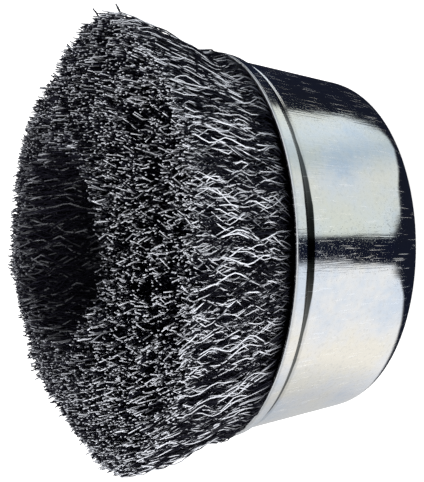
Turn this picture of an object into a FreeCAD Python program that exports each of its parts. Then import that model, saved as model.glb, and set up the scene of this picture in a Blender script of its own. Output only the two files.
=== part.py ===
import FreeCAD, Part
import os
import math
import random
import Sketcher

doc = FreeCAD.newDocument("WireCupBrush")

# Driving dimensions in millimetres and degrees
sizes = {
    "thread_diameter": 14.0,      # M14 spindle thread, left plain
    "thread_chamfer": 0.8,
    "neck_wall": 2.5,             # neck round the thread, through both sheets
    "seat_overlap": 3.0,          # how far the peened ring covers the cup's back
    "seat_height": 2.0,
    "nut_flats": 22.0,
    "nut_height": 10.0,
    "cup_sheet": 1.5,
    "cup_taper": 11.2,            # degrees
    "cup_corner": 8.8,
    "cup_wall_radius": 40.7,      # where the tapered wall meets the collar
    "cup_wall_height": 31.0,      # above the cup's back
    "collar_rise": 1.5,
    "collar_step": 1.0,
    "lip_rise": 2.4,
    "lip_flare": 0.5,
    "lip_round": 0.6,
    "inner_sheet": 1.5,
    "inner_base_radius": 19.0,
    "inner_flare": 1.6,
    "inner_depth": 21.0,
    "inner_corner": 3.5,
    "ring_wire": 4.0,
    "ring_inset": 7.0,            # wires between the keeper ring and the inner cup
    "ring_lift": 2.5,             # wires between the keeper ring and the cup's floor
    "mouth_gap": 2.2,             # dark gap between the wires and the lip
    "face_radius": 49.2,          # packed wires at the outer edge of the trimmed face
    "outer_trim": 25.0,           # that edge's height above the lip
    "face_rise": 11.6,            # the hollow's edge above the outer edge
    "face_crown": 1.8,            # dome of the face above its straight chord
    "face_sink": 1.8,             # packed wires end this far below the trimmed face
    "hollow_flare": 1.0,          # how much the hollow widens above the inner cup
    "strand_width": 1.0,
    "strand_spacing": 3.0,
    "hollow_strand_length": 28.0,
    "crimp_pitch": 11.0,          # one full wave
    "crimp_height": 0.9,          # each way from the wire's line
    "tip_spacing": 4.4,
    "tip_reach": 2.2,             # how far the cut ends stand past the packed face
}

sheet = doc.addObject("Spreadsheet::Sheet", "Sizes")
for row, (alias, value) in enumerate(sizes.items(), start=1):
    sheet.set("A%d" % row, alias)
    sheet.set("B%d" % row, str(value))
    sheet.setAlias("B%d" % row, alias)
doc.recompute()


def measure(expression):
    value = sheet.evalExpression(expression)
    return float(getattr(value, "Value", value))


def size(alias):
    return measure("Sizes." + alias)


def polar(radius, angle, height):
    return FreeCAD.Vector(radius * math.cos(angle), radius * math.sin(angle), height)


# Heights and radii that several pieces share, as expressions on the sheet
slope = "tan(Sizes.cup_taper * 1deg)"
wall_width = "(Sizes.cup_sheet / cos(Sizes.cup_taper * 1deg))"


def add(*terms):
    return "(%s)" % " + ".join(terms)


def less(first, *others):
    return "(%s)" % " - ".join((first,) + others)


back = "Sizes.seat_height"
floor = add(back, "Sizes.cup_sheet")
inner_floor = add(floor, "Sizes.inner_sheet")
nut_top = add(inner_floor, "Sizes.nut_height")
wall_top = add(back, "Sizes.cup_wall_height")
collar_level = add(wall_top, "Sizes.collar_rise")
lip_level = add(collar_level, "Sizes.lip_rise")
grip_top = less(wall_top, "3 * Sizes.mouth_gap")
inner_top = add(floor, "Sizes.inner_depth")
ring_level = add(floor, "Sizes.ring_lift", "Sizes.ring_wire / 2")
outer_edge_level = add(lip_level, "Sizes.outer_trim")
hollow_edge_level = add(outer_edge_level, "Sizes.face_rise")

thread_radius = "(Sizes.thread_diameter / 2)"
neck_radius = add(thread_radius, "Sizes.neck_wall")
seat_radius = add(neck_radius, "Sizes.seat_overlap")
collar_radius = add("Sizes.cup_wall_radius", "Sizes.collar_step")
lip_radius = add(collar_radius, "Sizes.lip_flare")
mouth_radius = less(lip_radius, wall_width, "Sizes.mouth_gap")
inner_mouth_radius = add("Sizes.inner_base_radius", "Sizes.inner_flare")
hollow_radius = add(inner_mouth_radius, "Sizes.hollow_flare")
ring_radius = add("Sizes.inner_base_radius", "Sizes.ring_inset", "Sizes.ring_wire / 2")


def wall_radius(height):
    # Outside of the tapered wall at a height above the seat
    return "(Sizes.cup_wall_radius - (%s - %s) * %s)" % (wall_top, height, slope)


def inside_radius(height):
    return less(wall_radius(height), wall_width)


def new_body(label):
    body = doc.addObject("PartDesign::Body", label)
    body.Label = label
    return body


def origin_plane(body, role):
    return [item for item in body.Origin.OriginFeatures if item.Role == role][0]


def new_sketch(body, name, role):
    sketch = body.newObject("Sketcher::SketchObject", name)
    sketch.AttachmentSupport = [(origin_plane(body, role), "")]
    sketch.MapMode = "FlatFace"
    return sketch


def bind(sketch, constraint, expression):
    number = sketch.addConstraint(constraint)
    sketch.setExpression("Constraints[%d]" % number, expression)
    return number


def pin(sketch, geometry, position, point):
    # Ties one point of the sketch to its radius and height
    for kind, expression in zip(("DistanceX", "DistanceY"), point):
        if expression == "0":
            axis = -1 if kind == "DistanceY" else -2
            sketch.addConstraint(Sketcher.Constraint("PointOnObject", geometry, position, axis))
            continue
        value = measure(expression)
        bind(sketch, Sketcher.Constraint(kind, -1, 1, geometry, position, value), expression)


def outline(sketch, points, crowns=None):
    # Closed anticlockwise outline of (radius, height) points; a crown makes that side an outward arc
    crowns = crowns or {}
    spots = [FreeCAD.Vector(measure(r), measure(z), 0) for r, z in points]
    count = len(spots)
    for index, start in enumerate(spots):
        end = spots[(index + 1) % count]
        if index not in crowns:
            sketch.addGeometry(Part.LineSegment(start, end))
            continue
        rise = measure(crowns[index])
        chord = end - start
        radius = chord.Length ** 2 / (8 * rise) + rise / 2
        inward = FreeCAD.Vector(-chord.y, chord.x, 0).normalize()
        centre = (start + end) * 0.5 + inward * (radius - rise)
        circle = Part.Circle(centre, FreeCAD.Vector(0, 0, 1), radius)
        turns = [math.atan2(spot.y - centre.y, spot.x - centre.x) for spot in (start, end)]
        sketch.addGeometry(Part.ArcOfCircle(circle, turns[0], turns[1]))
    for index, point in enumerate(points):
        sketch.addConstraint(Sketcher.Constraint("Coincident", index, 2, (index + 1) % count, 1))
        pin(sketch, index, 1, point)
    for index, crown in crowns.items():
        first = points[index]
        second = points[(index + 1) % count]
        chord = "((%s - %s)^2 + (%s - %s)^2)" % (first[0], second[0], first[1], second[1])
        radius = "(%s / (8 * %s) + %s / 2)" % (chord, crown, crown)
        bind(sketch, Sketcher.Constraint("Radius", index, measure(radius)), radius)


def revolve(body, sketch, name):
    feature = body.newObject("PartDesign::Revolution", name)
    feature.Profile = sketch
    feature.ReferenceAxis = (sketch, ["V_Axis"])
    feature.Angle = 360
    sketch.Visibility = False
    doc.recompute()
    return feature


def circles_at(feature, spots):
    # Names of the circular edges at the given radii and heights
    names = []
    for spot in spots:
        radius, height = (measure(value) for value in spot)
        for number, edge in enumerate(feature.Shape.Edges, start=1):
            curve = edge.Curve
            if curve.TypeId != "Part::GeomCircle":
                continue
            if abs(curve.Radius - radius) < 0.01 and abs(curve.Center.z - height) < 0.01:
                names.append("Edge%d" % number)
                break
    return names


def dress(body, base, kind, name, spots, expression):
    # Fillet or chamfer on chosen round edges
    feature = body.newObject("PartDesign::" + kind, name)
    feature.Base = (base, circles_at(base, spots))
    feature.setExpression("Radius" if kind == "Fillet" else "Size", expression)
    doc.recompute()
    return feature


# Cup: drawn shell with a tapered wall, a stepped collar and an open lip
def make_cup():
    body = new_body("cup")
    sketch = new_sketch(body, "CupSection", "XZ_Plane")
    corner = (wall_radius(back), back)
    floor_corner = (inside_radius(floor), floor)
    lip_outside = (lip_radius, lip_level)
    lip_inside = (less(lip_radius, wall_width), lip_level)
    outline(sketch, [
        (neck_radius, back), corner, ("Sizes.cup_wall_radius", wall_top),
        (collar_radius, collar_level), lip_outside, lip_inside,
        (less(collar_radius, wall_width), collar_level), (inside_radius(wall_top), wall_top),
        floor_corner, (neck_radius, floor)])
    shell = revolve(body, sketch, "CupShell")
    outer = dress(body, shell, "Fillet", "BackCorner", [corner], "Sizes.cup_corner")
    inner = dress(body, outer, "Fillet", "FloorCorner", [floor_corner], "Sizes.cup_corner - Sizes.cup_sheet")
    dress(body, inner, "Fillet", "LipRound", [lip_outside, lip_inside], "Sizes.lip_round")
    return body


# Inner cup: pressed sheet that backs the wires on the hollow's side
def make_inner_cup():
    body = new_body("inner_cup")
    sketch = new_sketch(body, "InnerCupSection", "XZ_Plane")
    climb = "(Sizes.inner_sheet * Sizes.inner_flare / Sizes.inner_depth)"
    back_corner = ("Sizes.inner_base_radius", floor)
    floor_corner = (add(less("Sizes.inner_base_radius", "Sizes.inner_sheet"), climb), inner_floor)
    mouth_outside = (inner_mouth_radius, inner_top)
    mouth_inside = (less(inner_mouth_radius, "Sizes.inner_sheet"), inner_top)
    outline(sketch, [
        (neck_radius, floor), back_corner, mouth_outside, mouth_inside, floor_corner,
        (neck_radius, inner_floor)])
    shell = revolve(body, sketch, "InnerCupShell")
    outer = dress(body, shell, "Fillet", "InnerBackCorner", [back_corner], "Sizes.inner_corner")
    inner = dress(body, outer, "Fillet", "InnerFloorCorner", [floor_corner],
                  "Sizes.inner_corner - Sizes.inner_sheet")
    dress(body, inner, "Fillet", "MouthRound", [mouth_outside, mouth_inside], "Sizes.inner_sheet * 0.4")
    return body


# Spindle nut: hexagon inside, neck through both sheets, peened ring on the back
def make_spindle_nut():
    body = new_body("spindle_nut")
    sketch = new_sketch(body, "NeckSection", "XZ_Plane")
    outline(sketch, [
        ("0", "0"), (seat_radius, "0"), (seat_radius, back), (neck_radius, back),
        (neck_radius, inner_floor), ("0", inner_floor)])
    turned = revolve(body, sketch, "NeckAndRing")
    dress(body, turned, "Chamfer", "RingChamfer", [(seat_radius, "0")], "Sizes.seat_height * 0.4")
    pad = body.newObject("PartDesign::Pad", "Hexagon")
    pad.Profile = hexagon_sketch(body)
    pad.setExpression("Length", "Sizes.nut_height")
    doc.recompute()
    bore = body.newObject("PartDesign::Pocket", "ThreadBore")
    bore.Profile = circle_sketch(body, "BoreSection", thread_radius)
    bore.Type = "ThroughAll"
    bore.Midplane = True
    doc.recompute()
    if bore.Shape.Volume > pad.Shape.Volume - 1:
        raise RuntimeError("the thread bore cut nothing")
    mouths = [(thread_radius, "0"), (thread_radius, nut_top)]
    dress(body, bore, "Chamfer", "BoreChamfer", mouths, "Sizes.thread_chamfer")
    return body


def circle_sketch(body, name, radius):
    sketch = new_sketch(body, name, "XY_Plane")
    circle = Part.Circle(FreeCAD.Vector(), FreeCAD.Vector(0, 0, 1), measure(radius))
    number = sketch.addGeometry(circle)
    sketch.addConstraint(Sketcher.Constraint("Coincident", number, 3, -1, 1))
    bind(sketch, Sketcher.Constraint("Radius", number, measure(radius)), radius)
    return sketch


def hexagon_sketch(body):
    # Regular hexagon on a construction circle, with one corner on the X axis
    sketch = new_sketch(body, "HexagonSection", "XY_Plane")
    sketch.setExpression("AttachmentOffset.Base.z", inner_floor)
    reach = "(Sizes.nut_flats / sqrt(3))"
    corners = [polar(measure(reach), math.radians(60 * side), 0) for side in range(6)]
    for side in range(6):
        sketch.addGeometry(Part.LineSegment(corners[side], corners[(side + 1) % 6]))
    guide = sketch.addGeometry(Part.Circle(FreeCAD.Vector(), FreeCAD.Vector(0, 0, 1), measure(reach)), True)
    sketch.addConstraint(Sketcher.Constraint("Coincident", guide, 3, -1, 1))
    for side in range(6):
        sketch.addConstraint(Sketcher.Constraint("Coincident", side, 2, (side + 1) % 6, 1))
        sketch.addConstraint(Sketcher.Constraint("PointOnObject", side, 1, guide))
    for side in range(1, 6):
        sketch.addConstraint(Sketcher.Constraint("Equal", 0, side))
    sketch.addConstraint(Sketcher.Constraint("PointOnObject", 0, 1, -1))
    bind(sketch, Sketcher.Constraint("Radius", guide, measure(reach)), reach)
    return sketch


# Keeper ring: the wires fold over it at the bottom of the channel
def make_keeper_ring():
    ring = doc.addObject("Part::Torus", "keeper_ring")
    ring.Label = "keeper_ring"
    ring.setExpression("Radius1", ring_radius)
    ring.setExpression("Radius2", "Sizes.ring_wire / 2")
    ring.setExpression("Placement.Base.z", ring_level)
    return ring


# Packed wires: fill the channel between the cups, flare past the lip and end below the domed face
face_outer = ("Sizes.face_radius", outer_edge_level)
face_inner = (hollow_radius, hollow_edge_level)
outer_lean = "((Sizes.face_radius - %s) / Sizes.outer_trim)" % mouth_radius
packed_outer = (less("Sizes.face_radius", "Sizes.face_sink * %s" % outer_lean), less(outer_edge_level, "Sizes.face_sink"))
packed_inner = (hollow_radius, less(hollow_edge_level, "Sizes.face_sink"))


def make_packed_wires():
    body = new_body("packed_wires")
    sketch = new_sketch(body, "WireSection", "XZ_Plane")
    folded_corner = (inside_radius(floor), floor)
    outline(sketch, [
        ("Sizes.inner_base_radius", floor), folded_corner, (inside_radius(grip_top), grip_top),
        (mouth_radius, lip_level), packed_outer, packed_inner,
        (inner_mouth_radius, inner_top)], {4: "Sizes.face_crown"})
    centre = FreeCAD.Vector(measure(ring_radius), measure(ring_level), 0)
    ring = sketch.addGeometry(Part.Circle(centre, FreeCAD.Vector(0, 0, 1), size("ring_wire") / 2))
    pin(sketch, ring, 3, (ring_radius, ring_level))
    bind(sketch, Sketcher.Constraint("Radius", ring, size("ring_wire") / 2), "Sizes.ring_wire / 2")
    mass = revolve(body, sketch, "PackedRing")
    dress(body, mass, "Fillet", "FoldedRound", [folded_corner], "Sizes.cup_corner - Sizes.cup_sheet")
    return body


# Strands: crimped wires in relief, each a zigzag bar of triangular section, rooted in the packed mass.
# They stand in equal groups round the axis, and none lies across the line between two groups.
strand_groups = 8


def bar(path, across, outward):
    # One closed solid: the same triangle carried along the path, with flat sides between its stops
    half = size("strand_width") / 2
    corners = [across * half - outward * half * 0.6, outward * half, -across * half - outward * half * 0.6]
    rings = [[spot + corner for corner in corners] for spot in path]
    loops = [rings[0], rings[-1]]
    for lower, upper in zip(rings, rings[1:]):
        for side in range(3):
            after = (side + 1) % 3
            loops.append([lower[side], lower[after], upper[after], upper[side]])
    faces = [Part.Face(Part.makePolygon(loop + loop[:1])) for loop in loops]
    shell = Part.Shell(faces)
    shell.fix(1e-6, 1e-6, 1e-6)
    solid = Part.Solid(shell)
    if solid.Volume < 0:
        solid.reverse()
    return solid


def strand(root, along, across, outward, length, rise):
    half = size("strand_width") / 2
    steps = max(2, round(2 * length / size("crimp_pitch")))
    sway = size("crimp_height") * rise
    path = [root - outward * size("strand_width") * 1.2]
    for step in range(steps + 1):
        side = sway if step % 2 else -sway
        path.append(root + along * (length * step / steps + half) + across * side + outward * half * 0.75)
    return bar(path, across, outward)


def strands_between(lower, upper, facing, generator):
    # A ring of strands that climb one cone from the lower (radius, height) to the upper one
    in_group = max(2, math.floor(2 * math.pi * lower[0] / (strand_groups * size("strand_spacing"))))
    count = strand_groups * in_group
    made = []
    for number in range(count):
        at_edge = number % in_group in (0, in_group - 1)
        shift = 0 if at_edge else 0.12 * generator.uniform(-1, 1)
        rise = generator.uniform(0.8, 0.95 if at_edge else 1.15)
        angle = 2 * math.pi * (number + 0.5 + shift) / count
        start = polar(lower[0], angle, lower[1])
        end = polar(upper[0], angle, upper[1])
        along = (end - start).normalize()
        across = polar(1, angle + math.pi / 2, 0)
        outward = across.cross(along) * facing
        length = (end - start).Length + size("tip_reach") * generator.uniform(-0.6, 1)
        made.append(strand(start, along, across, outward, length, rise))
    return made


def tips_on_face(generator):
    # Cut ends that stand out of the packed wires to the domed face, in rings, each along its own wire
    outer, outer_z = (measure(value) for value in face_outer)
    inner, inner_z = (measure(value) for value in face_inner)
    margin = size("tip_spacing") / 2
    rings = max(1, round((outer - inner - 2 * margin) / size("tip_spacing")))
    flare = math.atan2(outer - measure(mouth_radius), outer_z - measure(lip_level))
    made = []
    for ring in range(rings + 1):
        share = ring / rings
        radius = inner + margin + share * (outer - inner - 2 * margin)
        place = (radius - inner) / (outer - inner)
        crown = 4 * size("face_crown") * place * (1 - place)
        height = inner_z + place * (outer_z - inner_z) + crown
        count = strand_groups * max(1, round(2 * math.pi * radius / (strand_groups * size("tip_spacing"))))
        for number in range(count):
            shift = (0.12 if ring % 2 else -0.12) + 0.08 * generator.uniform(-1, 1)
            angle = 2 * math.pi * (number + 0.5 + shift) / count
            lean = flare * share + math.radians(generator.uniform(-14, 14))
            swing = math.radians(generator.uniform(-10, 10))
            outward = polar(1, angle, 0)
            across = polar(1, angle + math.pi / 2, 0)
            upward = FreeCAD.Vector(0, 0, 1)
            along = (upward + outward * math.tan(lean) + across * math.tan(swing)).normalize()
            outward = (outward - along * outward.dot(along)).normalize()
            across = along.cross(outward)
            reach = size("tip_reach") * generator.uniform(0.6, 1.3)
            spot = polar(radius, angle, height)
            root = spot - along * (size("face_sink") + size("strand_width") * 1.5)
            made.append(bar([root, spot + along * reach], across, outward))
    return made


def make_strands():
    generator = random.Random(11)
    outer_low = (measure(mouth_radius), measure(lip_level) + size("mouth_gap"))
    outer_high = tuple(measure(value) for value in face_outer)
    inner_high = tuple(measure(value) for value in face_inner)
    length = size("hollow_strand_length")
    taper = size("hollow_flare") / (inner_high[1] - measure(inner_top))
    inner_low = (inner_high[0] - taper * length, inner_high[1] - length)
    return (strands_between(outer_low, outer_high, 1, generator)
            + strands_between(inner_low, inner_high, -1, generator)
            + tips_on_face(generator))


def make_wire_fill():
    packed_wires = make_packed_wires()
    fill = doc.addObject("Part::Feature", "wire_fill")
    fill.Label = "wire_fill"
    fill.Shape = packed_wires.Shape.fuse(make_strands())
    return fill


pieces = [make_cup(), make_inner_cup(), make_spindle_nut(), make_keeper_ring(), make_wire_fill()]
doc.recompute()
for item in doc.Objects:
    if "Invalid" in item.State or "Error" in item.State:
        raise RuntimeError("%s did not compute" % item.Label)
for piece in pieces:
    if piece.Shape.isNull() or not piece.Shape.isValid():
        raise RuntimeError("%s has no valid shape" % piece.Label)

os.makedirs("parts", exist_ok=True)
for piece in pieces:
    piece.Shape.exportStep("parts/%s.step" % piece.Label)
    box = piece.Shape.BoundBox
    print(piece.Label, len(piece.Shape.Solids), round(piece.Shape.Volume), box)
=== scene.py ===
import math

import bmesh
import bpy
from mathutils import Matrix, Vector


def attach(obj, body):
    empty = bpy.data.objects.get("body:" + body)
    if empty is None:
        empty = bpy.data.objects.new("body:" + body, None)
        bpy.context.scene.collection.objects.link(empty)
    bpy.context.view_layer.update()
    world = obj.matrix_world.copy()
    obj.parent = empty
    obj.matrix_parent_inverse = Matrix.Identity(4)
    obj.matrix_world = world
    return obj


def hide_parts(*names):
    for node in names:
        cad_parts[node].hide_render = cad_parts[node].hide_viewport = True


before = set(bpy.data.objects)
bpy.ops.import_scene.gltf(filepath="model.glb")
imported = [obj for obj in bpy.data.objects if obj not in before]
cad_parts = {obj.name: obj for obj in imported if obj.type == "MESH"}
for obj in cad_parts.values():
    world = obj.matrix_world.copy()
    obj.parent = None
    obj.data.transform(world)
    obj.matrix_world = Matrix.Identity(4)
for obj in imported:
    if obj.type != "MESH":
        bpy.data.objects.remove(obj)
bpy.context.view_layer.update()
mm = 0.001


# Helpers for meshes and node trees

def newObject(name, mesh):
    obj = bpy.data.objects.new(name, mesh)
    bpy.context.scene.collection.objects.link(obj)
    return obj


def latheMesh(name, outline, turns):
    # Turns a closed outline of (radius, height) points, anticlockwise in that plane, round the axis
    verts, faces = [], []
    for radius, height in outline:
        for step in range(turns):
            angle = 2 * math.pi * step / turns
            verts.append((radius * math.cos(angle), radius * math.sin(angle), height))
    count = len(outline)
    for ring in range(count):
        above = (ring + 1) % count
        for step in range(turns):
            after = (step + 1) % turns
            faces.append((ring * turns + step, ring * turns + after,
                          above * turns + after, above * turns + step))
    mesh = bpy.data.meshes.new(name)
    mesh.from_pydata(verts, [], faces)
    mesh.shade_smooth()
    return mesh


def addNode(tree, kind, **settings):
    node = tree.nodes.new(kind)
    for key, value in settings.items():
        setattr(node, key, value)
    return node


def plug(tree, source, target):
    # A socket is linked, anything else is written into the input
    if isinstance(source, bpy.types.NodeSocket):
        tree.links.new(source, target)
    else:
        target.default_value = source


def calc(tree, operation, *values, clamp=False):
    node = addNode(tree, "ShaderNodeMath", operation=operation, use_clamp=clamp)
    for value, target in zip(values, node.inputs):
        plug(tree, value, target)
    return node.outputs[0]


def product(tree, first, *others):
    for other in others:
        first = calc(tree, "MULTIPLY", first, other)
    return first


def total(tree, first, *others):
    for other in others:
        first = calc(tree, "ADD", first, other)
    return first


def less(tree, first, second, clamp=False):
    return calc(tree, "SUBTRACT", first, second, clamp=clamp)


def mixed(tree, low, high, share):
    # low where share is 0, high where it is 1
    return calc(tree, "MULTIPLY_ADD", less(tree, high, low), share, low)


def combine(tree, x, y, z):
    node = addNode(tree, "ShaderNodeCombineXYZ")
    for value, target in zip((x, y, z), node.inputs):
        plug(tree, value, target)
    return node.outputs[0]


def separate(tree, vector):
    node = addNode(tree, "ShaderNodeSeparateXYZ")
    plug(tree, vector, node.inputs[0])
    return node.outputs


def vectors(tree, operation, *values):
    node = addNode(tree, "ShaderNodeVectorMath", operation=operation)
    for value, target in zip(values, node.inputs):
        plug(tree, value, target)
    return node.outputs["Value" if operation in ("LENGTH", "DOT_PRODUCT", "DISTANCE") else "Vector"]


def scaled(tree, vector, factor):
    node = addNode(tree, "ShaderNodeVectorMath", operation="SCALE")
    plug(tree, vector, node.inputs["Vector"])
    plug(tree, factor, node.inputs["Scale"])
    return node.outputs["Vector"]


def shifted(tree, spot, *moves):
    # Adds each move, a direction and a distance along it, to the spot
    for direction, distance in moves:
        spot = vectors(tree, "ADD", spot, scaled(tree, direction, distance))
    return spot


def ranged(tree, value, low, high, outLow=0.0, outHigh=1.0):
    # outLow up to low, outHigh from high on, and a smooth step between them
    node = addNode(tree, "ShaderNodeMapRange", interpolation_type="SMOOTHSTEP")
    names = ("Value", "From Min", "From Max", "To Min", "To Max")
    for name, given in zip(names, (value, low, high, outLow, outHigh)):
        plug(tree, given, node.inputs[name])
    return node.outputs["Result"]


def noiseNode(tree, vector, scale, detail, **settings):
    node = addNode(tree, "ShaderNodeTexNoise", **settings)
    for name, value in (("Vector", vector), ("Scale", scale), ("Detail", detail)):
        plug(tree, value, node.inputs[name])
    return node.outputs


def noiseOn(tree, vector, scale, detail):
    return noiseNode(tree, vector, scale, detail)["Fac"]


def objectSpots(tree):
    return addNode(tree, "ShaderNodeTexCoord").outputs["Object"]


def colourRamp(tree, value, stops):
    node = addNode(tree, "ShaderNodeValToRGB")
    while len(node.color_ramp.elements) < len(stops):
        node.color_ramp.elements.new(0.5)
    for element, (place, colour) in zip(node.color_ramp.elements, stops):
        element.position = place
        element.color = colour
    plug(tree, value, node.inputs["Fac"])
    return node.outputs["Color"]


def mixedColour(tree, low, high, share):
    node = addNode(tree, "ShaderNodeMix", data_type="RGBA")
    plug(tree, share, node.inputs["Factor"])
    plug(tree, low, node.inputs[6])
    plug(tree, high, node.inputs[7])
    return node.outputs[2]


def aroundAxis(tree, position):
    # Degrees round the axis, 0 at the front (-Y) and positive towards +X
    parts = separate(tree, position)
    return calc(tree, "DEGREES", calc(tree, "ARCTAN2", parts["X"], product(tree, parts["Y"], -1.0)))


# Camera, set where the photograph was taken from: the axis lies across the picture, wires to the left

cameraFit = {
    "elevation": 25.12,      # degrees above the cup's rim plane
    "roll": 0.76,            # degrees
    "distance": 657.9,       # mm
    "lens": 224.07,          # mm
    "sensor": 36,            # mm
    "clip": (0.01, 50),      # m
    "target": 28.32,         # mm above the floor, on the axis
    "shiftAlong": -7.28,     # mm
    "shiftAcross": -0.87,
}


def makeCamera(fit):
    tilt, roll = math.radians(fit["elevation"]), math.radians(fit["roll"])
    forward = Vector((0, math.cos(tilt), -math.sin(tilt)))
    rise = Vector((0, math.sin(tilt), math.cos(tilt)))
    side = Vector((1, 0, 0))
    along = rise * math.cos(roll) + side * math.sin(roll)
    across = side * math.cos(roll) - rise * math.sin(roll)
    spot = (Vector((0, 0, fit["target"])) - along * fit["shiftAlong"] - across * fit["shiftAcross"]
            - forward * fit["distance"]) * mm
    camera = bpy.data.objects.new("camera", bpy.data.cameras.new("camera"))
    camera.data.lens = fit["lens"]
    camera.data.sensor_width = fit["sensor"]
    camera.data.clip_start, camera.data.clip_end = fit["clip"]
    axes = Matrix((-along, across, -forward)).transposed()
    camera.matrix_world = Matrix.Translation(spot) @ axes.to_4x4()
    bpy.context.scene.collection.objects.link(camera)
    bpy.context.scene.camera = camera
    print("camera at", [round(v, 4) for v in spot])


makeCamera(cameraFit)
bpy.context.scene.view_settings.view_transform = "Standard"


# Studio: pale floor, soft lights, and a white surround with a dark slit on the camera's side

studio = {
    "floorRadius": 8.0,                      # m
    "floorStep": 5,                          # degrees between the floor's corners
    "floorColour": (0.82, 0.82, 0.82, 1),
    "floorGlow": 0.80,
    "roomLight": 0.45,
    # What bright metal mirrors, by degrees round the axis from the front towards +X: a white card to
    # the left, a dark slit before the camera, a bluish card to the right and a dark room behind it
    "mirrored": (
        (-180, (0.50, 0.50, 0.51)), (-110, (0.60, 0.61, 0.62)), (-88, (0.63, 0.64, 0.66)),
        (-72, (0.76, 0.77, 0.79)), (-58, (0.95, 0.94, 0.94)), (-10, (0.93, 0.94, 0.95)),
        (-8.4, (0.008, 0.010, 0.022)), (2.8, (0.008, 0.010, 0.022)), (4.4, (0.72, 0.79, 0.79)),
        (30, (0.72, 0.77, 0.80)), (43, (0.52, 0.61, 0.67)), (57, (0.72, 0.81, 0.87)),
        (71, (0.76, 0.82, 0.84)), (75, (0.010, 0.013, 0.026))),
    # The near edge of the white on the floor: degrees, m from the axis
    "cardEdge": (
        (-180, 0.034), (-54, 0.0345), (-43, 0.0345), (-34, 0.035), (-22, 0.0375), (-13, 0.044),
        (4, 0.045), (14, 0.042), (23, 0.041), (31, 0.037), (42, 0.035), (48, 0.037), (55, 0.0425),
        (62, 0.046), (67, 0.051), (71, 0.061), (74, 0.068)),
    "cardBlur": 0.0012,                      # m each way
    "cardFade": (0.072, 0.090),              # m from the axis, where the card dims to the far glow
    "darkColour": (0.009, 0.011, 0.021, 1),
    "farGlow": 0.85,
    "farArc": (0.105, 0.140),                # m from the axis, a light strip behind on the dark side
    "arcBlur": 0.0006,                       # m each way
    "arcTurn": (76.0, 80.0),                 # degrees where the strip begins
    "arcColour": (1.15, 1.20, 1.25, 1),
    "skyGlow": (1.15, 1.18, 1.22, 1),        # what wires and the lip mirror above the horizon
    "skyRise": (0.12, 0.45),                 # slope of a direction, where the room turns to sky
}

lamps = {                    # m and W; nothing mirrors them
    "upperLight": {"spot": (0.80, -0.60, 0.52), "aim": (0, 0, 0.04), "width": 0.5, "power": 3.9},
    "lowerLight": {"spot": (-0.80, -0.75, 0.45), "aim": (0, 0, 0.04), "width": 0.5, "power": 16},
    "frontLight": {"spot": (0.15, -1.15, 0.68), "aim": (0, 0, 0.05), "width": 0.4, "power": 8},
}


def roundRamp(tree, around, stops):
    # A colour ramp over the whole turn, from stops at degrees round the axis
    share = calc(tree, "DIVIDE", total(tree, around, 180.0), 360.0)
    return colourRamp(tree, share, [((degrees + 180) / 360, (*colour, 1)) for degrees, colour in stops])


def seenAndMirrored(tree):
    # Rays from the camera, straight or through glass, and rays that metal sends on
    rays = addNode(tree, "ShaderNodeLightPath").outputs
    return calc(tree, "MAXIMUM", rays["Is Camera Ray"], rays["Is Transmission Ray"]), rays["Is Glossy Ray"]


def makeWorld(settings):
    world = bpy.data.worlds.new("studio")
    bpy.context.scene.world = world
    world.use_nodes = True
    tree = world.node_tree
    tree.nodes.clear()
    output = addNode(tree, "ShaderNodeOutputWorld")
    seen, glossy = seenAndMirrored(tree)
    direction = addNode(tree, "ShaderNodeTexCoord").outputs["Generated"]
    room = mixedColour(tree, roundRamp(tree, aroundAxis(tree, direction), settings["mirrored"]),
                       settings["skyGlow"], ranged(tree, separate(tree, direction)["Z"], *settings["skyRise"]))
    colour = mixedColour(tree, (1, 1, 1, 1), room, glossy)
    strength = mixed(tree, mixed(tree, settings["roomLight"], settings["farGlow"], glossy), 1.0, seen)
    background = addNode(tree, "ShaderNodeBackground")
    plug(tree, colour, background.inputs["Color"])
    plug(tree, strength, background.inputs["Strength"])
    plug(tree, background.outputs[0], output.inputs[0])


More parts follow.
